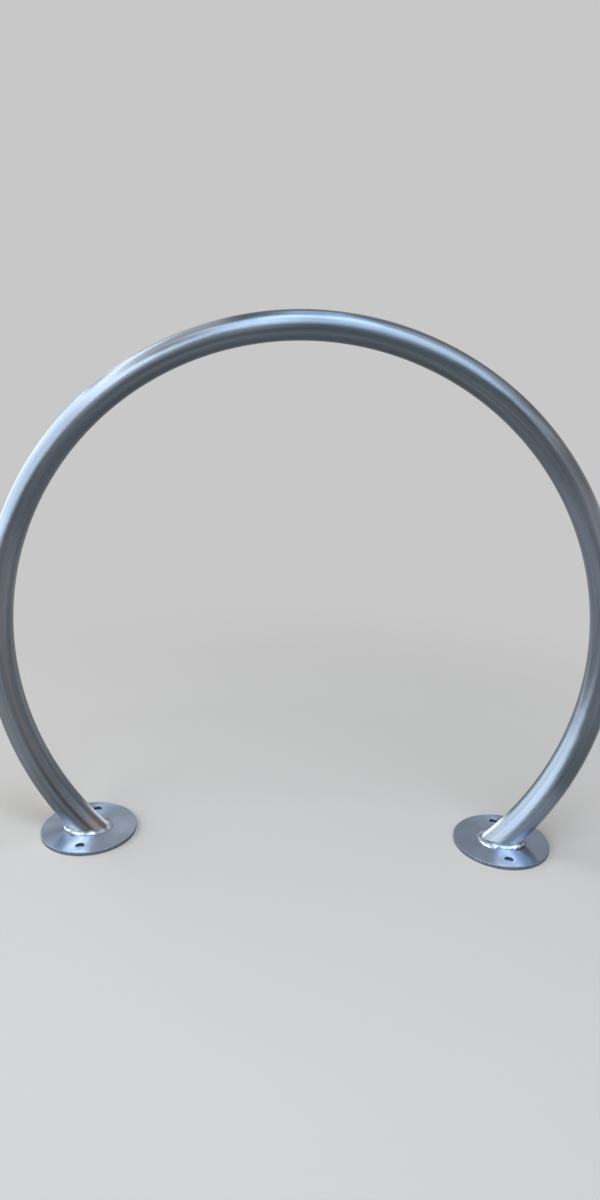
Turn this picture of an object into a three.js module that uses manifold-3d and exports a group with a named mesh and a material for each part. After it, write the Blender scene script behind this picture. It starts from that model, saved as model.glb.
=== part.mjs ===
// Hoop bike rack: a stainless steel tube rolled into three quarters of a circle. Each end is sawn flat,
// stands on a round base plate and is fillet welded to it all the way round.
// Millimetres, +Z up. The hoop stands in the XZ plane, and the origin is on the ground midway between
// the two feet.

import * as THREE from "three";
import { mergeVertices } from "three/addons/utils/BufferGeometryUtils.js";
import Module from "manifold-3d";

// Hoop tube
const tubeDiameter = 48.3;
const tubeWall = 3;
const bendRadius = 500; // to the middle of the tube
const bendDegrees = 270; // of the circle, from one foot round to the other

// Base plates
const plateDiameter = 160;
const plateThickness = 6;
const plateChamfer = 1;
const anchorHoleDiameter = 14;
const anchorHoleSpacing = 116; // centre to centre, square to the hoop
const anchorHoleChamfer = 0.5;

// Fillet welds
const weldLeg = 6;
const weldCrown = 1.2; // swell of the weld's face past the straight line between its toes
const weldRippleDepth = 0.6;
const weldRipplePitch = 4;
const weldGap = 0.3; // between a weld and the tube that it runs round

// Overruns and tolerances
const cutOverrun = 5;
const mergeDistance = 0.0001;
const toePasses = 4; // each brings a weld's upper toe nearer to square with its root

// Facets
const tubeSides = 32;
const boreSides = 16;
const bendSteps = 84;
const plateSides = 72;
const holeSides = 24;
const weldFacePoints = 3;
const rippleShares = [0, 1, 0.7]; // height of one ripple, from its valley over its crest

// Worked out from the sizes above
const tubeRadius = tubeDiameter / 2;
const footAngle = THREE.MathUtils.degToRad((bendDegrees - 180) / 2); // how far the ends pass the middle
const footReach = bendRadius * Math.cos(footAngle); // from the middle of the rack to a foot
const hoopCentreHeight = plateThickness + bendRadius * Math.sin(footAngle);
const tubeSlope = Math.tan(footAngle); // outward run of the tube for each unit of height at a foot

const wasm = await Module();
wasm.setup();

// A closed three.js geometry as a solid that can be cut and joined.
function solidOf(geometry) {
  const bare = geometry.clone();
  bare.deleteAttribute("normal");
  bare.deleteAttribute("uv");
  const merged = mergeVertices(bare, mergeDistance);
  return new wasm.Manifold(
    new wasm.Mesh({
      numProp: 3,
      vertProperties: merged.attributes.position.array,
      triVerts: new Uint32Array(merged.index.array),
    }),
  );
}

function geometryOf(solid) {
  const mesh = solid.getMesh();
  const geometry = new THREE.BufferGeometry();
  geometry.setAttribute("position", new THREE.BufferAttribute(mesh.vertProperties, 3));
  geometry.setIndex(new THREE.BufferAttribute(mesh.triVerts, 1));
  geometry.computeVertexNormals();
  return geometry;
}

function circlePoints(radius, sides) {
  const points = [];
  for (let i = 0; i < sides; i++) {
    const turn = (2 * Math.PI * i) / sides;
    points.push(new THREE.Vector2(radius * Math.cos(turn), radius * Math.sin(turn)));
  }
  return points;
}

// A profile of [radius, height] pairs turned about the Z axis.
function turned(profile, sides) {
  const points = profile.map(([radius, height]) => new THREE.Vector2(radius, height));
  return new THREE.LatheGeometry(points, sides).rotateX(Math.PI / 2);
}

// Hoop tube: the middle line of the rolled tube, with a length past each foot that is sawn off.
class HoopLine extends THREE.Curve {
  getPoint(share, target = new THREE.Vector3()) {
    const past = footAngle + tubeDiameter / bendRadius;
    const angle = -past + (Math.PI + 2 * past) * share;
    return target.set(
      bendRadius * Math.cos(angle),
      0,
      hoopCentreHeight + bendRadius * Math.sin(angle),
    );
  }
}

function hoopTubeGeometry() {
  const section = new THREE.Shape(circlePoints(tubeRadius, tubeSides));
  section.holes.push(new THREE.Path(circlePoints(tubeRadius - tubeWall, boreSides)));
  const rolled = new THREE.ExtrudeGeometry(section, {
    steps: bendSteps,
    extrudePath: new HoopLine(),
    bevelEnabled: false,
  });
  const sawDepth = tubeDiameter + cutOverrun;
  const sawn = new THREE.BoxGeometry(
    2 * (bendRadius + tubeDiameter),
    2 * tubeDiameter,
    sawDepth,
  ).translate(0, 0, plateThickness - sawDepth / 2);
  return geometryOf(solidOf(rolled).subtract(solidOf(sawn)));
}

// Base plate: a turned disc with broken edges and two drilled anchor holes, in front and behind.
function plateGeometry() {
  const radius = plateDiameter / 2;
  const disc = turned(
    [
      [0, 0],
      [radius - plateChamfer, 0],
      [radius, plateChamfer],
      [radius, plateThickness - plateChamfer],
      [radius - plateChamfer, plateThickness],
      [0, plateThickness],
    ],
    plateSides,
  );
  const holeRadius = anchorHoleDiameter / 2;
  const mouth = holeRadius + anchorHoleChamfer + cutOverrun; // the chamfer's cone, run on past the plate
  const drill = turned(
    [
      [0, -cutOverrun],
      [mouth, -cutOverrun],
      [holeRadius, anchorHoleChamfer],
      [holeRadius, plateThickness - anchorHoleChamfer],
      [mouth, plateThickness + cutOverrun],
      [0, plateThickness + cutOverrun],
    ],
    holeSides,
  );
  let plate = solidOf(disc);
  for (const side of [-1, 1]) {
    plate = plate.subtract(solidOf(drill.clone().translate(0, (side * anchorHoleSpacing) / 2, 0)));
  }
  return geometryOf(plate);
}

// Fillet weld: lofted round the outline that the leaning tube makes on the plate.
// Its points are measured from the middle of a foot, with +X away from the middle of the rack.

// Where the tube's outside, grown by the weld's gap, passes through a level. Turn 0 is the hoop's outside.
function tubeAtLevel(turn, level) {
  const reach = tubeRadius + weldGap;
  const swing = bendRadius + reach * Math.cos(turn);
  const drop = hoopCentreHeight - level;
  const x = Math.sqrt(swing * swing - drop * drop) - footReach;
  return new THREE.Vector3(x, reach * Math.sin(turn), level);
}

class Footprint extends THREE.Curve {
  getPoint(share, target = new THREE.Vector3()) {
    return target.copy(tubeAtLevel(2 * Math.PI * share, plateThickness));
  }
}

// The weld's upper toe: slides round the tube until it stands square to the root of the weld.
function upperToe(turn, root, along, level) {
  let slid = turn;
  let toe = tubeAtLevel(slid, level);
  for (let pass = 0; pass < toePasses; pass++) {
    slid -= toe.clone().sub(root).dot(along) / (tubeRadius + weldGap);
    toe = tubeAtLevel(slid, level);
  }
  return toe;
}

// One section of the weld: root, lower toe, the swollen face and the upper toe.
function weldSection(footprint, share, ripple) {
  const root = footprint.getPoint(share);
  const along = footprint.getTangent(share);
  const outward = new THREE.Vector3(along.y, -along.x, 0);
  const dip = weldRippleDepth * (1 - ripple);
  const leg = weldLeg - dip;
  const rise = leg / Math.hypot(1, outward.x * tubeSlope);
  const lower = root.clone().addScaledVector(outward, leg);
  const upper = upperToe(2 * Math.PI * share, root, along, plateThickness + rise);
  const faceNormal = upper.clone().sub(lower).cross(along).normalize().negate();
  const points = [root, lower];
  for (let i = 1; i <= weldFacePoints; i++) {
    const step = i / (weldFacePoints + 1);
    const swell = (weldCrown - dip) * 4 * step * (1 - step);
    points.push(lower.clone().lerp(upper, step).addScaledVector(faceNormal, swell));
  }
  points.push(upper);
  return points;
}

function weldGeometry() {
  const footprint = new Footprint();
  const ripples = Math.round(footprint.getLength() / weldRipplePitch);
  const stations = ripples * rippleShares.length;
  const sections = [];
  for (let i = 0; i < stations; i++) {
    const share = footprint.getUtoTmapping(i / stations);
    sections.push(weldSection(footprint, share, rippleShares[i % rippleShares.length]));
  }
  const around = sections[0].length;
  const indices = [];
  for (let i = 0; i < stations; i++) {
    const here = i * around;
    const next = ((i + 1) % stations) * around;
    for (let j = 0; j < around; j++) {
      const k = (j + 1) % around;
      indices.push(here + j, next + j, next + k);
      indices.push(here + j, next + k, here + k);
    }
  }
  const geometry = new THREE.BufferGeometry().setFromPoints(sections.flat());
  geometry.setIndex(indices);
  geometry.computeVertexNormals();
  return geometry;
}

// Materials
const satinTube = new THREE.MeshStandardMaterial({ color: 0xa9aeb4, metalness: 1, roughness: 0.25 });
const turnedPlate = new THREE.MeshStandardMaterial({ color: 0x9ea4ad, metalness: 1, roughness: 0.35 });
const weldMetal = new THREE.MeshStandardMaterial({ color: 0xc4ccd4, metalness: 1, roughness: 0.3 });

function part(name, geometry, material) {
  const mesh = new THREE.Mesh(geometry, material);
  mesh.name = name;
  return mesh;
}

// A foot: its plate and its weld, turned half round on the left.
function foot(name, side) {
  const group = new THREE.Group();
  group.add(part(`base_plate_${name}`, plateGeometry(), turnedPlate));
  group.add(part(`weld_${name}`, weldGeometry(), weldMetal));
  group.position.x = side * footReach;
  group.rotation.z = side < 0 ? Math.PI : 0;
  return group;
}

const rack = new THREE.Group();
rack.add(part("hoop_tube", hoopTubeGeometry(), satinTube));
rack.add(foot("left", -1));
rack.add(foot("right", 1));

export default rack;
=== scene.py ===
import math
import bmesh
import bpy
from mathutils import Matrix, Vector, noise


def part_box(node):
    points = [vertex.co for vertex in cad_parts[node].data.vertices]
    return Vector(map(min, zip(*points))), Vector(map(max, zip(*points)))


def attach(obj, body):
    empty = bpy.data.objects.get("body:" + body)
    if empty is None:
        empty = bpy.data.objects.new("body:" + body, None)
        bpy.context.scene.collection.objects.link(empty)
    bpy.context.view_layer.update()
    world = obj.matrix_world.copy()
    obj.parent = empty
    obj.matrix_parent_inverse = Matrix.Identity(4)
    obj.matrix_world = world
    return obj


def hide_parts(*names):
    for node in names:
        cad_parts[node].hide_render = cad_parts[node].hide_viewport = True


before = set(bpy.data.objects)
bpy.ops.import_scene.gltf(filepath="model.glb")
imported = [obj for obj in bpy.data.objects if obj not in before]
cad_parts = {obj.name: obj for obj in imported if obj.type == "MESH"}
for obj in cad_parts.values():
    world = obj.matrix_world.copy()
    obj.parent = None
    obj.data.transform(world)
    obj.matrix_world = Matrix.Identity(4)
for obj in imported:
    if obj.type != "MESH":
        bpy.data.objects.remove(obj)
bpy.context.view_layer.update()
print("frame loaded:", sorted(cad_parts))

# The rack's own sizes in metres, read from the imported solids
hoopLow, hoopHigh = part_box("hoop_tube")
plateLow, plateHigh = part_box("base_plate_right")
tubeRadius = (hoopHigh.y - hoopLow.y) / 2
bendRadius = (hoopHigh.x - hoopLow.x) / 2 - tubeRadius
hoopCentre = Vector((0, 0, hoopHigh.z - bendRadius - tubeRadius))
plateTop = plateHigh.z
plateRadius = (plateHigh.y - plateLow.y) / 2
footReach = (plateLow.x + plateHigh.x) / 2
footAngle = math.asin((hoopCentre.z - plateTop) / bendRadius)  # how far the hoop's ends pass its middle
footArc = (math.pi / 2 + footAngle) * bendRadius  # along the tube, from the top of the hoop to a foot

# Small helpers
smooth = {"interpolation_type": "SMOOTHSTEP"}  # for a map range that eases in and out
noiseLow, noiseHigh = 0.3, 0.7  # most of a noise pattern's values lie between these


def hexColour(code):
    # sRGB hex to the linear colour that the nodes take
    shares = [int(code[i:i + 2], 16) / 255 for i in (1, 3, 5)]
    return [s / 12.92 if s <= 0.04045 else ((s + 0.055) / 1.055) ** 2.4 for s in shares] + [1]


def addNode(tree, kind, settings=None, links=None):
    node = tree.nodes.new("ShaderNode" + kind)
    for name, value in (settings or {}).items():
        if isinstance(name, str) and hasattr(node, name):
            setattr(node, name, value)
        else:
            node.inputs[name].default_value = value
    for name, socket in (links or {}).items():
        tree.links.new(socket, node.inputs[name])
    return node


def newMaterial(name):
    material = bpy.data.materials.new(name)
    material.use_nodes = True
    material.node_tree.nodes.clear()
    return material, material.node_tree


def setStops(ramp, stops):
    elements = ramp.color_ramp.elements
    while len(elements) < len(stops):
        elements.new(0.5)
    for element, (place, colour) in zip(elements, stops):
        element.position = place
        element.color = hexColour(colour)
    return ramp.outputs["Color"]


def finishMesh(name, bm, materials, sharpDegrees=35):
    mesh = bpy.data.meshes.new(name)
    bm.to_mesh(mesh)
    bm.free()
    mesh.shade_smooth()
    mesh.set_sharp_from_angle(angle=math.radians(sharpDegrees))
    for material in materials:
        mesh.materials.append(material)
    piece = bpy.data.objects.new(name, mesh)
    bpy.context.scene.collection.objects.link(piece)
    return piece


def standFor(piece, node):
    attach(piece, "root")
    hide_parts(node)


# Hoop tube
# Its patterns and its lengths of painted light and shade are placed on the tube as it was before rolling:
# along it from the top, negative to the left, across it from front to back, and from the inside of the bend
# to the outside
tubeSettings = {
    "sides": 96, "boreSides": 48, "steps": 300, "wall": 0.003,
    "pastFoot": 0.1,  # radians rolled past each foot, then sawn off
    "steel": [(0.3, "#5c636b"), (0.5, "#676f77"), (0.7, "#747b83")],
    "rough": (0.24, 0.36), "anisotropy": 0.4,
    # The belt's lines, the broader streaks and the shallow dents: how many to the metre along the tube and
    # across it, and their levels of finer detail
    "belt": (30, 1800, 2), "streaks": (3, 150, 3), "dents": (14, 26, 2),
    "beltDepth": 0.000005, "beltStrength": 0.5, "streakDepth": 0.00008, "dentDepth": 0.0009,
    # Lengths of the tube whose steel is painted lighter, as painted highlights, or darker, as painted shade:
    # the middle and reach of each along the tube, where it begins and is full between the inside and the
    # outside, the share of it that goes on behind, and its gain in red, green and blue
    "paintedLightZones": [
        (-0.84, 0.28, -0.05, -0.04, 1, (1.5, 1.42, 1.4)),
        (0.72, 0.28, -0.05, -0.04, 1, (1.5, 1.47, 1.5)),
        (1.14, 0.12, -0.011, -0.005, 1, (1.75, 1.75, 1.9)),
        (0.54, 0.19, -0.004, 0.003, 1, (1.9, 1.76, 1.66)),
        (-0.2, 0.22, -0.007, -0.001, 1, (1.6, 1.56, 1.52)),
        (-0.23, 0.13, 0.0095, 0.0135, 0, (2.2, 2.1, 2.05)),
        (-0.33, 0.07, 0.0195, 0.0225, 0, (2, 2, 2)),
        (-0.04, 0.1, 0.011, 0.017, 1, (0.5, 0.5, 0.52)),
        (0.45, 0.13, 0.0115, 0.0145, 0, (0.7, 0.68, 0.66)),
        (-0.05, 0.5, -0.014, -0.022, 1, (0.65, 0.68, 0.7)),
    ],
    "paintedLightFront": (0.008, 0.002),  # across the tube, from a zone's share behind to all of it in front
    "tint": "#7f7068",  # brown beside the welds, on the inside of the bend
    "tintReach": 0.034,  # along the tube from the plate
    "tintShares": (1.3, 0.2),  # on the left leg and on the right one
    "tintInside": (0.008, -0.004),  # where it begins and is full
    "stain": "#8f847c",
    "stainFrom": 0.62, "stainFull": 0.95,  # along the left leg
    "stainSide": -0.014, "stainWidth": 0.004,  # towards the inside of the bend
    "paintedWeldHighlight": "#e6e8ea", "paintedWeldHighlightRough": 0.6,  # painted highlight: steel painted bright beside the welds, outside the bend and behind
    "paintedWeldHighlightFrom": 0.055, "paintedWeldHighlightFull": 0.008,  # along the tube from the plate
    "paintedWeldHighlightOutside": (-0.002, 0.01), "paintedWeldHighlightBehind": (-0.006, 0.004),  # where it begins and is full
}


def tubePattern(tree, straight, pattern):
    along, across, detail = pattern
    spread = addNode(tree, "Mapping", {"Scale": (along, across, across)}, {"Vector": straight})
    drawn = addNode(tree, "TexNoise", {"Scale": 1, "Detail": detail}, {"Vector": spread.outputs[0]})
    return drawn.outputs["Fac"]


def withPaintedLightAndShade(tree, steel, place):
    s = tubeSettings
    frontFrom, frontFull = s["paintedLightFront"]
    # Painted highlights and painted shade: each length of the tube is made lighter or darker by its gain
    for middle, reach, begins, full, behindShare, gain in s["paintedLightZones"]:
        offMiddle = addNode(tree, "Math", {"operation": "SUBTRACT", 1: middle}, {0: place.outputs["X"]})
        away = addNode(tree, "Math", {"operation": "ABSOLUTE"}, {0: offMiddle.outputs[0]})
        lengthwise = addNode(tree, "MapRange", {**smooth, "From Min": reach, "From Max": reach / 2},
                             {"Value": away.outputs[0]})
        crosswise = addNode(tree, "MapRange", {**smooth, "From Min": begins, "From Max": full},
                            {"Value": place.outputs["Z"]})
        frontwise = addNode(tree, "MapRange", {**smooth, "From Min": frontFrom, "From Max": frontFull,
                                               "To Min": behindShare}, {"Value": place.outputs["Y"]})
        zone = addNode(tree, "Math", {"operation": "MULTIPLY"},
                       {0: lengthwise.outputs[0], 1: crosswise.outputs[0]})
        share = addNode(tree, "Math", {"operation": "MULTIPLY"},
                        {0: zone.outputs[0], 1: frontwise.outputs[0]})
        steel = addNode(tree, "MixRGB", {"blend_type": "MULTIPLY", "Color2": [*gain, 1]},
                        {"Fac": share.outputs[0], "Color1": steel}).outputs[0]
    return steel


def brownedNearWeldsSteel(tree, steel, place, fromTop, streaks):
    s = tubeSettings
    nearFoot = addNode(tree, "MapRange", {**smooth, "From Min": footArc - s["tintReach"],
                                          "From Max": footArc}, {"Value": fromTop})
    bySide = addNode(tree, "MapRange", {"From Min": -bendRadius, "From Max": bendRadius,
                                        "To Min": s["tintShares"][0], "To Max": s["tintShares"][1]},
                     {"Value": place.outputs["X"]})
    inside = addNode(tree, "MapRange", {**smooth, "From Min": s["tintInside"][0],
                                        "From Max": s["tintInside"][1]}, {"Value": place.outputs["Z"]})
    insideShare = addNode(tree, "Math", {"operation": "MULTIPLY"},
                          {0: inside.outputs[0], 1: bySide.outputs[0]})
    tinting = addNode(tree, "Math", {"operation": "MULTIPLY"},
                      {0: nearFoot.outputs[0], 1: insideShare.outputs[0]})
    patchy = addNode(tree, "Math", {"operation": "MULTIPLY"}, {0: tinting.outputs[0], 1: streaks})
    return addNode(tree, "MixRGB", {"Color2": hexColour(s["tint"])},
                   {"Fac": patchy.outputs[0], "Color1": steel}).outputs[0]


def stainedSteel(tree, steel, place, streaks):
    s = tubeSettings
    downLeft = addNode(tree, "MapRange", {**smooth, "From Min": -s["stainFrom"],
                                          "From Max": -s["stainFull"]}, {"Value": place.outputs["X"]})
    sideways = addNode(tree, "Math", {"operation": "SUBTRACT", 1: s["stainSide"]}, {0: place.outputs["Z"]})
    offLine = addNode(tree, "Math", {"operation": "ABSOLUTE"}, {0: sideways.outputs[0]})
    onLine = addNode(tree, "MapRange", {**smooth, "From Min": s["stainWidth"], "From Max": 0},
                     {"Value": offLine.outputs[0]})
    inFront = addNode(tree, "Math", {"operation": "LESS_THAN", 1: 0}, {0: place.outputs["Y"]})
    stain = addNode(tree, "Math", {"operation": "MULTIPLY"}, {0: downLeft.outputs[0], 1: onLine.outputs[0]})
    frontStain = addNode(tree, "Math", {"operation": "MULTIPLY"},
                         {0: stain.outputs[0], 1: inFront.outputs[0]})
    patchy = addNode(tree, "Math", {"operation": "MULTIPLY"}, {0: frontStain.outputs[0], 1: streaks})
    return addNode(tree, "MixRGB", {"Color2": hexColour(s["stain"])},
                   {"Fac": patchy.outputs[0], "Color1": steel}).outputs[0]


def paintedWeldHighlightShare(tree, place, fromTop):
    s = tubeSettings
    byWeld = addNode(tree, "MapRange", {**smooth, "From Min": footArc - s["paintedWeldHighlightFrom"],
                                        "From Max": footArc - s["paintedWeldHighlightFull"]}, {"Value": fromTop})
    outside = addNode(tree, "MapRange", {**smooth, "From Min": s["paintedWeldHighlightOutside"][0],
                                         "From Max": s["paintedWeldHighlightOutside"][1]}, {"Value": place.outputs["Z"]})
    behind = addNode(tree, "MapRange", {**smooth, "From Min": s["paintedWeldHighlightBehind"][0],
                                        "From Max": s["paintedWeldHighlightBehind"][1]}, {"Value": place.outputs["Y"]})
    reached = addNode(tree, "Math", {"operation": "MAXIMUM"}, {0: outside.outputs[0], 1: behind.outputs[0]})
    return addNode(tree, "Math", {"operation": "MULTIPLY"},
                   {0: byWeld.outputs[0], 1: reached.outputs[0]}).outputs[0]


def makeTubeMaterial():
    # Stainless tube, rolled and then polished lengthwise with a fine belt: satin, with soft streaks along it
    # and highlights that spread round the tube. The belt's lines are some 0.05 mm apart on the real tube and
    # are drawn about ten times as coarse. Beside the welds it is browned on the inside of the bend, and a
    # painted highlight lies on the outside and behind. Lengths of it are painted lighter or darker as painted
    # highlights and painted shade. One drawn-in stain runs up the front of the left leg.
    s = tubeSettings
    material, tree = newMaterial("beltPolishedStainlessTube")
    straight = addNode(tree, "Attribute", {"attribute_name": "straightTube"}).outputs["Vector"]
    place = addNode(tree, "SeparateXYZ", None, {"Vector": straight})
    fromTop = addNode(tree, "Math", {"operation": "ABSOLUTE"}, {0: place.outputs["X"]}).outputs[0]
    belt = tubePattern(tree, straight, s["belt"])
    streaks = tubePattern(tree, straight, s["streaks"])
    dents = tubePattern(tree, straight, s["dents"])

    steel = setStops(addNode(tree, "ValToRGB", None, {"Fac": streaks}), s["steel"])
    # painted highlights and painted shade along the tube
    steel = withPaintedLightAndShade(tree, steel, place)
    steel = brownedNearWeldsSteel(tree, steel, place, fromTop, streaks)
    steel = stainedSteel(tree, steel, place, streaks)
    # painted highlight: bright steel beside the welds, outside the bend and behind
    paintedWeldHighlighting = paintedWeldHighlightShare(tree, place, fromTop)
    steel = addNode(tree, "MixRGB", {"Color2": hexColour(s["paintedWeldHighlight"])},
                    {"Fac": paintedWeldHighlighting, "Color1": steel}).outputs[0]

    beltRough = addNode(tree, "MapRange", {"From Min": noiseLow, "From Max": noiseHigh,
                                           "To Min": s["rough"][0], "To Max": s["rough"][1]},
                        {"Value": streaks})
    rough = addNode(tree, "MapRange", {"To Max": s["paintedWeldHighlightRough"]},
                    {"Value": paintedWeldHighlighting, "To Min": beltRough.outputs[0]})
    bumpDents = addNode(tree, "Bump", {"Strength": 1, "Distance": s["dentDepth"]}, {"Height": dents})
    bumpStreaks = addNode(tree, "Bump", {"Strength": 1, "Distance": s["streakDepth"]},
                          {"Height": streaks, "Normal": bumpDents.outputs[0]})
    bumpBelt = addNode(tree, "Bump", {"Strength": s["beltStrength"], "Distance": s["beltDepth"]},
                       {"Height": belt, "Normal": bumpStreaks.outputs[0]})

    # Round the tube: the middle line's direction, turned a quarter about the surface normal
    fromCentre = addNode(tree, "Mapping", {"Location": -hoopCentre},
                         {"Vector": addNode(tree, "TexCoord").outputs["Object"]})
    alongHoop = addNode(tree, "VectorMath", {"operation": "CROSS_PRODUCT", 1: (0, 1, 0)},
                        {0: fromCentre.outputs[0]})
    aroundTube = addNode(tree, "VectorMath", {"operation": "CROSS_PRODUCT"},
                         {0: alongHoop.outputs[0], 1: addNode(tree, "NewGeometry").outputs["Normal"]})
    shader = addNode(tree, "BsdfPrincipled", {"Metallic": 1, "Anisotropic": s["anisotropy"]},
                     {"Base Color": steel, "Roughness": rough.outputs[0],
                      "Normal": bumpBelt.outputs[0], "Tangent": aroundTube.outputs[0]})
    addNode(tree, "OutputMaterial", None, {"Surface": shader.outputs[0]})
    return material


def makeHoopTube():
    s = tubeSettings
    past = footAngle + s["pastFoot"]
    bm = bmesh.new()
    start = (Matrix.Translation(hoopCentre) @ Matrix.Rotation(past, 4, "Y")
             @ Matrix.Translation((bendRadius, 0, 0)))
    for radius, sides in ((tubeRadius, s["sides"]), (tubeRadius - s["wall"], s["boreSides"])):
        ring = bmesh.ops.create_circle(bm, segments=sides, radius=radius, matrix=start)["verts"]
        edges = list(dict.fromkeys(edge for vert in ring for edge in vert.link_edges))
        bmesh.ops.spin(bm, geom=ring + edges, cent=hoopCentre, axis=(0, 1, 0), dvec=(0, 0, 0),
                       angle=-(math.pi + 2 * past), steps=s["steps"], use_merge=False, use_duplicate=False)
    # Both ends are sawn off flat, level with the top of the plates, and their walls closed
    everything = bm.verts[:] + bm.edges[:] + bm.faces[:]
    bmesh.ops.bisect_plane(bm, geom=everything, plane_co=(0, 0, plateTop), plane_no=(0, 0, 1),
                           clear_inner=True)
    for side in (-1, 1):
        sawn = [edge for edge in bm.edges if edge.is_boundary and edge.verts[0].co.x * side > 0]
        bmesh.ops.bridge_loops(bm, edges=sawn)
    bmesh.ops.recalc_face_normals(bm, faces=bm.faces)
    # Where each point lay on the tube before it was rolled
    straight = bm.verts.layers.float_vector.new("straightTube")
    for vert in bm.verts:
        fromMiddle = vert.co - hoopCentre
        turn = math.atan2(fromMiddle.x, fromMiddle.z)
        outward = math.hypot(fromMiddle.x, fromMiddle.z) - bendRadius
        vert[straight] = (turn * bendRadius, fromMiddle.y, outward)
    piece = finishMesh("hoopTube", bm, [makeTubeMaterial()])
    standFor(piece, "hoop_tube")


makeHoopTube()
print("hoop tube made")

# Base plates
plateSettings = {
    "sides": 144, "holeSides": 40, "roundSegments": 3,
    "holeRadius": 0.007, "holeSpacing": 0.116,
    "rimRound": 0.0006, "holeRound": 0.0005,
    "cornerAngle": 1,  # radians, and edges that turn more sharply are rounded
    "levelShare": 0.98,  # a face whose normal is more upright than this belongs to the turned face
    # The two plates are one steel: the left one's is painted lighter and the right one's darker, as painted
    # light and shade
    "steel": {"left": [(0.3, "#9aa7ba"), (0.5, "#a6b3c6"), (0.7, "#b1bed0")],
              "right": [(0.3, "#8591a5"), (0.5, "#909cb0"), (0.7, "#9aa7ba")]},
    "rough": (0.24, 0.27),
    "ringsPerMetre": 1000, "ringDepth": 0.00003, "ringStrength": 0.4,
    "handlingPerMetre": 26,  # soft patches that handling leaves
    "swirl": {"left": 29, "right": -20},  # degrees by which the facing tool's rings spiral
    # Sectors of the face painted lighter or darker: degrees from the front towards the right, half angle and
    # tone. The first is a painted highlight, bright in front of the weld, and a second one is painted shade,
    # duller.
    "paintedLightSectors": {"left": [(-4, 23, "#d8e4f6"), (-68, 42, "#7f8999")], "right": [(-2, 23, "#bdcade")]},
    "shadedEdgeSteel": [(0.35, "#69707a"), (0.65, "#868d96")], "edgeRough": 0.42,
    "dragsPerMetre": (500, 500, 60), "dragDepth": 0.0001, "dragStrength": 0.5,
}


def makePlateMaterial(side, footX):
    # Stainless plate, faced on a lathe: fine rings about its middle, which draw a highlight out into a
    # bright wedge. The rings are some 0.15 mm apart on the real plate, and are drawn at about 1 mm.
    s = plateSettings
    material, tree = newMaterial("turnedStainlessPlate_" + side)
    fromMiddle = addNode(tree, "Mapping", {"Location": (-footX, 0, 0), "Scale": (1, 1, 0)},
                         {"Vector": addNode(tree, "TexCoord").outputs["Object"]}).outputs[0]
    radius = addNode(tree, "VectorMath", {"operation": "LENGTH"}, {0: fromMiddle}).outputs["Value"]
    ringPlace = addNode(tree, "Math", {"operation": "MULTIPLY", 1: s["ringsPerMetre"]}, {0: radius})
    rings = addNode(tree, "TexNoise", {"noise_dimensions": "1D", "Scale": 1, "Detail": 2},
                    {"W": ringPlace.outputs[0]}).outputs["Fac"]
    handled = addNode(tree, "TexNoise", {"Scale": s["handlingPerMetre"], "Detail": 3},
                      {"Vector": fromMiddle}).outputs["Fac"]
    both = addNode(tree, "MixRGB", {"Fac": 0.5}, {"Color1": rings, "Color2": handled})
    steel = setStops(addNode(tree, "ValToRGB", None, {"Fac": both.outputs[0]}), s["steel"][side])
    outward = addNode(tree, "VectorMath", {"operation": "NORMALIZE"}, {0: fromMiddle})
    # Painted highlight and painted shade: sectors of the face tinted lighter or darker
    for degrees, halfAngle, tone in s["paintedLightSectors"][side]:
        turn = math.radians(degrees)
        towards = (math.sin(turn), -math.cos(turn), 0)
        facing = addNode(tree, "VectorMath", {"operation": "DOT_PRODUCT", 1: towards},
                         {0: outward.outputs[0]})
        sector = addNode(tree, "MapRange", {**smooth, "From Min": math.cos(math.radians(halfAngle)),
                                            "From Max": 1}, {"Value": facing.outputs["Value"]})
        steel = addNode(tree, "MixRGB", {"Color2": hexColour(tone)},
                        {"Fac": sector.outputs[0], "Color1": steel}).outputs[0]
    rough = addNode(tree, "MapRange", {"From Min": noiseLow, "From Max": noiseHigh,
                                       "To Min": s["rough"][0], "To Max": s["rough"][1]},
                    {"Value": handled})
    bump = addNode(tree, "Bump", {"Strength": s["ringStrength"], "Distance": s["ringDepth"]},
                   {"Height": rings})
    acrossRings = addNode(tree, "Mapping", {"Rotation": (0, 0, math.radians(s["swirl"][side]))},
                          {"Vector": fromMiddle})
    shader = addNode(tree, "BsdfPrincipled", {"Metallic": 1, "Anisotropic": 1},
                     {"Base Color": steel, "Roughness": rough.outputs[0],
                      "Normal": bump.outputs[0], "Tangent": acrossRings.outputs[0]})
    addNode(tree, "OutputMaterial", None, {"Surface": shader.outputs[0]})
    return material


def makeEdgeMaterial():
    # The plate's cut edge and drilled walls: duller than the face, with steel painted darker as painted
    # shade, and fine upright drag lines
    s = plateSettings
    material, tree = newMaterial("cutStainlessEdge")
    spread = addNode(tree, "Mapping", {"Scale": s["dragsPerMetre"]},
                     {"Vector": addNode(tree, "TexCoord").outputs["Object"]})
    drags = addNode(tree, "TexNoise", {"Scale": 1, "Detail": 3}, {"Vector": spread.outputs[0]}).outputs["Fac"]
    steel = setStops(addNode(tree, "ValToRGB", None, {"Fac": drags}), s["shadedEdgeSteel"])
    bump = addNode(tree, "Bump", {"Strength": s["dragStrength"], "Distance": s["dragDepth"]},
                   {"Height": drags})
    shader = addNode(tree, "BsdfPrincipled", {"Metallic": 1, "Roughness": s["edgeRough"]},
                     {"Base Color": steel, "Normal": bump.outputs[0]})
    addNode(tree, "OutputMaterial", None, {"Surface": shader.outputs[0]})
    return material


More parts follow.
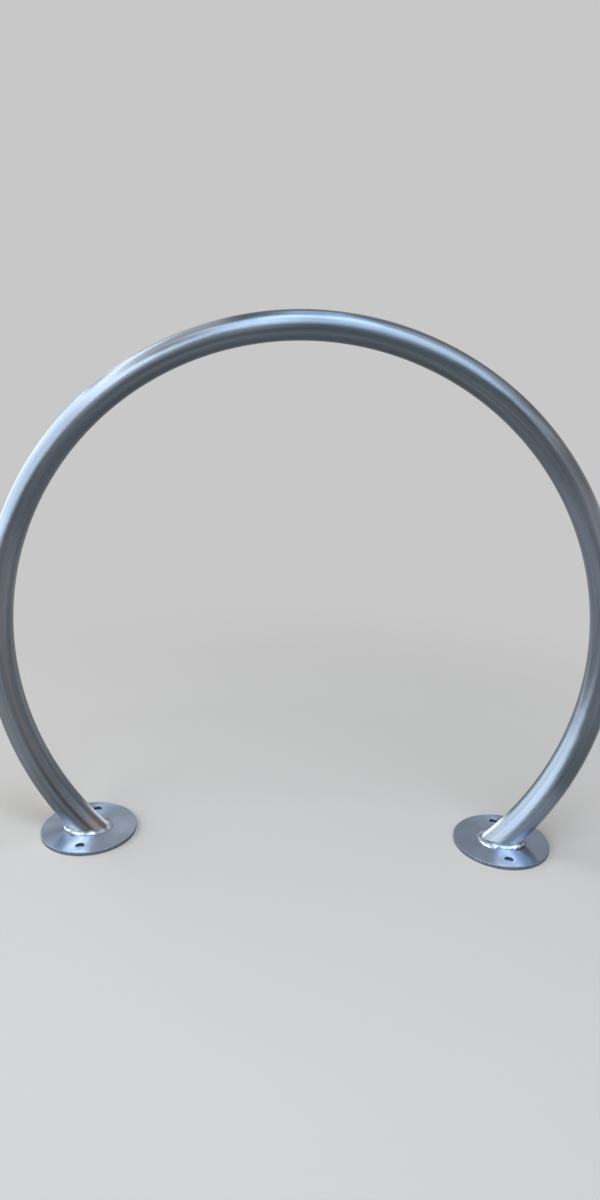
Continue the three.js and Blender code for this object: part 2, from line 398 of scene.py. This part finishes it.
def makeBasePlate(side, footX, edgeMaterial):
    s = plateSettings
    bm = bmesh.new()
    middle = Matrix.Translation((footX, 0, 0))
    bmesh.ops.create_circle(bm, segments=s["sides"], radius=plateRadius, matrix=middle)
    for front in (-1, 1):
        hole = middle @ Matrix.Translation((0, front * s["holeSpacing"] / 2, 0))
        bmesh.ops.create_circle(bm, segments=s["holeSides"], radius=s["holeRadius"], matrix=hole)
    bmesh.ops.triangle_fill(bm, use_beauty=True, edges=bm.edges[:], normal=(0, 0, 1))
    raised = bmesh.ops.extrude_face_region(bm, geom=bm.faces[:], use_keep_orig=True)["geom"]
    lifted = [item for item in raised if isinstance(item, bmesh.types.BMVert)]
    bmesh.ops.translate(bm, verts=lifted, vec=(0, 0, plateTop))
    bmesh.ops.recalc_face_normals(bm, faces=bm.faces)
    corners = [edge for edge in bm.edges if edge.calc_face_angle(0) > s["cornerAngle"]]
    nearRim = plateRadius - s["holeRadius"]
    rim = [edge for edge in corners if (edge.verts[0].co.xy - Vector((footX, 0))).length > nearRim]
    mouths = [edge for edge in corners if edge not in rim]
    for edges, roundness in ((rim, s["rimRound"]), (mouths, s["holeRound"])):
        bmesh.ops.bevel(bm, geom=edges, offset=roundness, offset_type="OFFSET", affect="EDGES",
                        segments=s["roundSegments"], profile=0.5, material=-1, clamp_overlap=True)
    for face in bm.faces:
        face.material_index = 0 if abs(face.normal.z) > s["levelShare"] else 1
    piece = finishMesh("basePlate_" + side, bm, [makePlateMaterial(side, footX), edgeMaterial])
    standFor(piece, "base_plate_" + side)


edgeMaterial = makeEdgeMaterial()
for side, footX in (("left", -footReach), ("right", footReach)):
    makeBasePlate(side, footX, edgeMaterial)
print("base plates made")

# Weld beads
weldSettings = {
    "leg": 0.006,  # how far the bead reaches up the tube and out on the plate
    "sectionSides": 20, "ripples": 46, "stepsPerRipple": 8,
    "heart": 0.32, "swell": 0.85,  # middle and radius of the round section, as shares of the leg
    "rippleDepth": 0.12, "lag": 0.45,  # ripple height as a share of the leg, and how far its toes trail
    "frontSwell": 0.4,  # the bead is laid thicker in front and behind than on the sides
    # Its longer and its shorter lumps: height as a share of the leg, how many to the metre, and how far apart
    # in the noise the two beads are
    "unevenness": 0.55, "lumpsPerMetre": 70, "lumpShift": 7,
    "knobbliness": 0.22, "knobsPerMetre": 260, "knobShift": 3,
    # Where a run stops and the next starts: angle on the foot, half width and depth of the dip
    "stopAt": {"left": -160, "right": -20}, "stopWidth": 9, "stopDepth": 0.6,
    "steel": [(0.35, "#8b939c"), (0.5, "#a9b1ba"), (0.65, "#c3cbd4")],
    "grainPerMetre": 900, "grainDepth": 0.0002, "grainStrength": 0.6,
    # Brown patches: how many to the metre, where in their noise the tint begins and is full, and its strength
    "patchesPerMetre": 75, "tint": "#74685f", "tintSpan": (0.47, 0.64), "tintShare": 0.8,
    "roughSpan": (0.4, 0.6), "rough": (0.3, 0.55),
}


def makeWeldMaterial():
    # Stainless weld metal, wire brushed: bright and lumpy, with a little brown heat tint in patches
    s = weldSettings
    material, tree = newMaterial("brushedWeldMetal")
    place = addNode(tree, "TexCoord").outputs["Object"]
    grain = addNode(tree, "TexNoise", {"Scale": s["grainPerMetre"], "Detail": 3},
                    {"Vector": place}).outputs["Fac"]
    patches = addNode(tree, "TexNoise", {"Scale": s["patchesPerMetre"], "Detail": 3},
                      {"Vector": place}).outputs["Fac"]
    steel = setStops(addNode(tree, "ValToRGB", None, {"Fac": grain}), s["steel"])
    tinting = addNode(tree, "MapRange", {"From Min": s["tintSpan"][0], "From Max": s["tintSpan"][1],
                                         "To Max": s["tintShare"]}, {"Value": patches})
    tinted = addNode(tree, "MixRGB", {"Color2": hexColour(s["tint"])},
                     {"Fac": tinting.outputs[0], "Color1": steel})
    rough = addNode(tree, "MapRange", {"From Min": s["roughSpan"][0], "From Max": s["roughSpan"][1],
                                       "To Min": s["rough"][0], "To Max": s["rough"][1]},
                    {"Value": patches})
    bump = addNode(tree, "Bump", {"Strength": s["grainStrength"], "Distance": s["grainDepth"]},
                   {"Height": grain})
    shader = addNode(tree, "BsdfPrincipled", {"Metallic": 1},
                     {"Base Color": tinted.outputs[0], "Roughness": rough.outputs[0],
                      "Normal": bump.outputs[0]})
    addNode(tree, "OutputMaterial", None, {"Surface": shader.outputs[0]})
    return material


def tubeSurface(turn, height):
    # A point on the outside of the tube beside its foot, measured from the middle of the foot. Turn 0 is the
    # side that faces away from the middle of the rack.
    swing = bendRadius + tubeRadius * math.cos(turn)
    drop = hoopCentre.z - plateTop - height
    return Vector((math.sqrt(swing * swing - drop * drop) - footReach, tubeRadius * math.sin(turn), height))


def makeWeldBead(side, direction, weldMaterial):
    s = weldSettings
    bm = bmesh.new()
    section = Matrix.Translation((tubeRadius, 0, 0)) @ Matrix.Rotation(math.pi / 2, 4, "X")
    ring = bmesh.ops.create_circle(bm, segments=s["sectionSides"], radius=s["leg"], matrix=section)["verts"]
    edges = list(dict.fromkeys(edge for vert in ring for edge in vert.link_edges))
    bmesh.ops.spin(bm, geom=ring + edges, cent=(0, 0, 0), axis=(0, 0, 1), dvec=(0, 0, 0), angle=2 * math.pi,
                   steps=s["ripples"] * s["stepsPerRipple"], use_merge=True, use_duplicate=False)
    # The round ring is laid into the corner between tube and plate, and rippled
    nudge = 0.01  # radians to either side, for the direction of the corner
    for vert in bm.verts:
        turn = math.atan2(vert.co.y, vert.co.x)
        out = (math.hypot(vert.co.x, vert.co.y) - tubeRadius) / s["leg"]
        up = vert.co.z / s["leg"]
        root = tubeSurface(turn, 0)
        along = (tubeSurface(turn + nudge, 0) - tubeSurface(turn - nudge, 0)).normalized()
        outward = Vector((along.y, -along.x, 0))
        climb = (tubeSurface(turn, s["leg"]) - root).normalized()
        toe = abs(out - up)
        phase = turn / (2 * math.pi) * s["ripples"] + s["lag"] * toe * toe
        ripple = math.sqrt(abs(math.sin(math.pi * phase))) - 0.5
        spot = Vector((root.x, root.y, 0))
        lump = noise.noise(spot * s["lumpsPerMetre"] + Vector((direction * s["lumpShift"], 0, 0)))
        knob = noise.noise(spot * s["knobsPerMetre"] + Vector((out, up, direction * s["knobShift"])))
        front = s["frontSwell"] * (abs(math.sin(turn)) - 0.5)
        fromStop = (math.degrees(turn) - s["stopAt"][side]) / s["stopWidth"]
        stop = s["stopDepth"] * math.exp(-fromStop * fromStop)
        reach = s["leg"] * (s["swell"] + front - stop + s["rippleDepth"] * ripple + s["unevenness"] * lump
                            + s["knobbliness"] * knob)
        heart = s["leg"] * s["heart"]
        vert.co = root + outward * (heart + reach * out) + climb * (heart + reach * up)
    if direction < 0:
        bmesh.ops.scale(bm, verts=bm.verts, vec=(-1, 1, 1))
    bmesh.ops.translate(bm, verts=bm.verts, vec=(direction * footReach, 0, plateTop))
    bmesh.ops.recalc_face_normals(bm, faces=bm.faces)
    piece = finishMesh("weldBead_" + side, bm, [weldMaterial], sharpDegrees=60)
    standFor(piece, "weld_" + side)


weldMaterial = makeWeldMaterial()
for side, direction in (("left", -1), ("right", 1)):
    makeWeldBead(side, direction, weldMaterial)
print("weld beads made")

# Camera, matched to the outline of the hoop and both plates in the photograph
cameraSettings = {
    "place": (0.0039, -1.3087, 0.7903),
    "yaw": -0.46, "pitch": 9.10, "roll": 1.59,  # degrees: to the right, downwards, anticlockwise
    "focalPixels": 824.9, "middleRow": 502.1, "frame": (600, 1200),
}


def makeCamera():
    s = cameraSettings
    longSide = max(s["frame"])
    data = bpy.data.cameras.new("photoCamera")
    data.lens = data.sensor_width * s["focalPixels"] / longSide
    data.shift_y = (s["middleRow"] - s["frame"][1] / 2) / longSide
    camera = bpy.data.objects.new("photoCamera", data)
    bpy.context.scene.collection.objects.link(camera)
    camera.matrix_world = (Matrix.Translation(s["place"])
                           @ Matrix.Rotation(-math.radians(s["yaw"]), 4, "Z")
                           @ Matrix.Rotation(math.radians(90 - s["pitch"]), 4, "X")
                           @ Matrix.Rotation(math.radians(s["roll"]), 4, "Z"))
    bpy.context.scene.camera = camera


makeCamera()
print("camera set")

# Studio: a pale floor that fades into a plain pale backdrop, and soft boxes
studioSettings = {
    "floorColour": "#b5aba1", "floorRadius": 3.5, "floorSides": 96,
    "fadeFrom": 0.4, "fadeTo": 1.5,  # from the middle of the rack
    "specklesPerMetre": 300, "speckleDepth": 0.0005, "speckleStrength": 0.1,
    "drilledColour": "#d2e0f8",
    "drillRadius": 0.0075, "drillDepth": 0.05, "drillSides": 32,  # holes in the floor, under the plates'
    "backdrop": "#c8c8c8", "dimSide": "#aeaeae",
    "dimTowards": (0.45, -0.9, 0), "dimSpan": (-0.3, 0.8),  # darker in front of the rack and to its right
    "ambient": "#f0d0a0", "ambientStrength": 0.12,  # warm, so that with the bluish boxes white stays white
    "middle": (0, 0, 0.45),
    # bearing (0 in front of the rack, 90 to the right), height, distance, width, length, radiance, colour
    "lamps": {
        "frontBox": (16, 44, 4.0, 4.6, 2.8, 3.9, "#c8def5"),
        "highBox": (8, 71, 4.0, 1.8, 1.7, 8.0, "#c2dcf5"),
        "topStrip": (180, 79, 4.0, 0.8, 2.0, 6.8, "#c2dcf5"),
        "leftBox": (-77, 18, 4.0, 12.2, 3.2, 5.1, "#dee8f3"),
        "backLeftBox": (-114, 45, 4.0, 2.2, 0.9, 2.0, "#dee8f3"),
        "rightBox": (66, 50, 4.0, 3.6, 3.6, 1.25, "#e0e4ec"),
    },
}


def makeFloorMaterial():
    # Matt floor paint, slightly uneven, that fades out round the rack into the backdrop
    s = studioSettings
    material, tree = newMaterial("paleFloorPaint")
    place = addNode(tree, "TexCoord").outputs["Object"]
    fromMiddle = addNode(tree, "VectorMath", {"operation": "LENGTH"}, {0: place})
    fading = addNode(tree, "MapRange", {**smooth, "From Min": s["fadeFrom"], "From Max": s["fadeTo"]},
                     {"Value": fromMiddle.outputs["Value"]})
    speckle = addNode(tree, "TexNoise", {"Scale": s["specklesPerMetre"], "Detail": 2}, {"Vector": place})
    bump = addNode(tree, "Bump", {"Strength": s["speckleStrength"], "Distance": s["speckleDepth"]},
                   {"Height": speckle.outputs["Fac"]})
    paint = addNode(tree, "BsdfDiffuse", {"Color": hexColour(s["floorColour"])}, {"Normal": bump.outputs[0]})
    clear = addNode(tree, "BsdfTransparent")
    mixed = addNode(tree, "MixShader", None,
                    {"Fac": fading.outputs[0], 1: paint.outputs[0], 2: clear.outputs[0]})
    addNode(tree, "OutputMaterial", None, {"Surface": mixed.outputs[0]})
    return material


def makeDrilledMaterial():
    # Bare pale ground in the drilled holes
    material, tree = newMaterial("drilledGround")
    ground = addNode(tree, "BsdfDiffuse", {"Color": hexColour(studioSettings["drilledColour"])})
    addNode(tree, "OutputMaterial", None, {"Surface": ground.outputs[0]})
    return material


def makeFloor():
    s = studioSettings
    bm = bmesh.new()
    bmesh.ops.create_circle(bm, segments=s["floorSides"], radius=s["floorRadius"])
    holeReach = plateSettings["holeSpacing"] / 2
    rims = []
    for x in (-footReach, footReach):
        for y in (-holeReach, holeReach):
            rim = bmesh.ops.create_circle(bm, segments=s["drillSides"], radius=s["drillRadius"],
                                          matrix=Matrix.Translation((x, y, 0)))["verts"]
            rims.append(list(dict.fromkeys(edge for vert in rim for edge in vert.link_edges)))
    bmesh.ops.triangle_fill(bm, use_beauty=True, edges=bm.edges[:], normal=(0, 0, 1))
    drilled = []
    for rim in rims:
        wall = bmesh.ops.extrude_edge_only(bm, edges=rim)["geom"]
        bottom = [item for item in wall if isinstance(item, bmesh.types.BMVert)]
        bmesh.ops.translate(bm, verts=bottom, vec=(0, 0, -s["drillDepth"]))
        drilled += [item for item in wall if isinstance(item, bmesh.types.BMFace)]
        bottomEdges = [item for item in wall if isinstance(item, bmesh.types.BMEdge)]
        drilled += bmesh.ops.holes_fill(bm, edges=bottomEdges)["faces"]
    for face in drilled:
        face.material_index = 1
    floor = finishMesh("floor", bm, [makeFloorMaterial(), makeDrilledMaterial()])


def makeWorld():
    # The backdrop for the camera and in reflections, and a dim warm light for everything else
    s = studioSettings
    world = bpy.data.worlds.new("studio")
    bpy.context.scene.world = world
    world.use_nodes = True
    tree = world.node_tree
    tree.nodes.clear()
    path = addNode(tree, "LightPath")
    seen = addNode(tree, "Math", {"operation": "MAXIMUM"},
                   {0: path.outputs["Is Camera Ray"], 1: path.outputs["Is Glossy Ray"]})
    seenOrThrough = addNode(tree, "Math", {"operation": "MAXIMUM"},
                            {0: seen.outputs[0], 1: path.outputs["Is Transmission Ray"]})
    ambient = addNode(tree, "Background",
                      {"Color": hexColour(s["ambient"]), "Strength": s["ambientStrength"]})
    facing = addNode(tree, "VectorMath", {"operation": "DOT_PRODUCT", 1: s["dimTowards"]},
                     {0: addNode(tree, "TexCoord").outputs["Generated"]})
    dimming = addNode(tree, "MapRange", {**smooth, "From Min": s["dimSpan"][0], "From Max": s["dimSpan"][1]},
                      {"Value": facing.outputs["Value"]})
    tone = addNode(tree, "MixRGB", {"Color1": hexColour(s["backdrop"]), "Color2": hexColour(s["dimSide"])},
                   {"Fac": dimming.outputs[0]})
    backdrop = addNode(tree, "Background", {"Strength": 1}, {"Color": tone.outputs[0]})
    mixed = addNode(tree, "MixShader", None,
                    {"Fac": seenOrThrough.outputs[0], 1: ambient.outputs[0], 2: backdrop.outputs[0]})
    addNode(tree, "OutputWorld", None, {"Surface": mixed.outputs[0]})


def addLamp(name, bearing, height, distance, width, length, radiance, colour):
    middle = Vector(studioSettings["middle"])
    bearing = math.radians(bearing)
    height = math.radians(height)
    towards = Vector((math.sin(bearing) * math.cos(height), -math.cos(bearing) * math.cos(height),
                      math.sin(height)))
    data = bpy.data.lights.new(name, "AREA")
    data.shape = "RECTANGLE"
    data.size = width
    data.size_y = length
    data.color = hexColour(colour)[:3]
    data.energy = radiance * math.pi * width * length
    lamp = bpy.data.objects.new(name, data)
    bpy.context.scene.collection.objects.link(lamp)
    lamp.location = middle + distance * towards
    lamp.rotation_euler = (-towards).to_track_quat("-Z", "Y").to_euler()
    lamp.visible_camera = False


makeFloor()
makeWorld()
for lampName, lampValues in studioSettings["lamps"].items():
    addLamp(lampName, *lampValues)
bpy.context.scene.view_settings.view_transform = "Standard"
print("studio lit")
